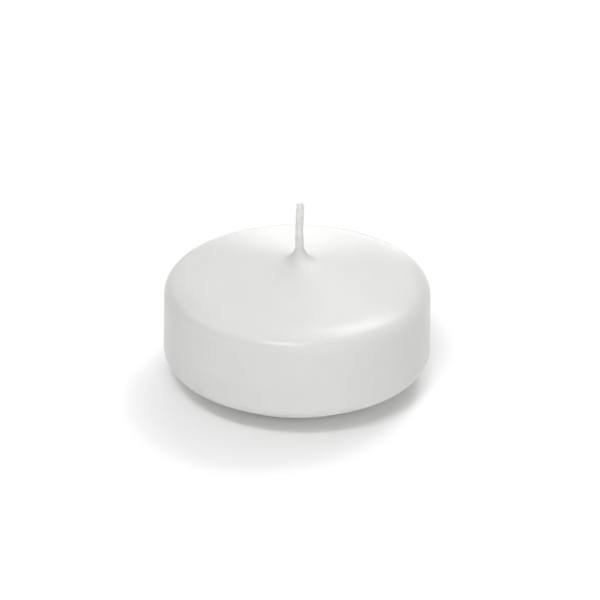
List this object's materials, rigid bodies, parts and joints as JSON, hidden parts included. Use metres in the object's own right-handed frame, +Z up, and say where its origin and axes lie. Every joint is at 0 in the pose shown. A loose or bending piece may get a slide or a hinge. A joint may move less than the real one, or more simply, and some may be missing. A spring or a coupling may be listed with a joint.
{
  "type": "floating candle",
  "caption": "Round white floating candle: moulded wax float with a tapered foot and shallow crown, plaited wick and wick tab.",
  "frame": {"origin": "centre of the flat base, on the surface that the candle stands on", "axes": "+Z up along the candle's axis and its wick; +X and +Y lie in the base and are equal, as the float is round"},
  "size_m": [0.076, 0.076, 0.0542],
  "materials": {
    "wax": "smooth moulded paraffin wax, soft satin",
    "wick": "plaited cotton, waxed",
    "tab": "tinned steel, satin"
  },
  "bodies": {
    "root": {"wax_body": "wax", "wick": "wick", "wick_tab": "tab"}
  },
  "joints": []
}
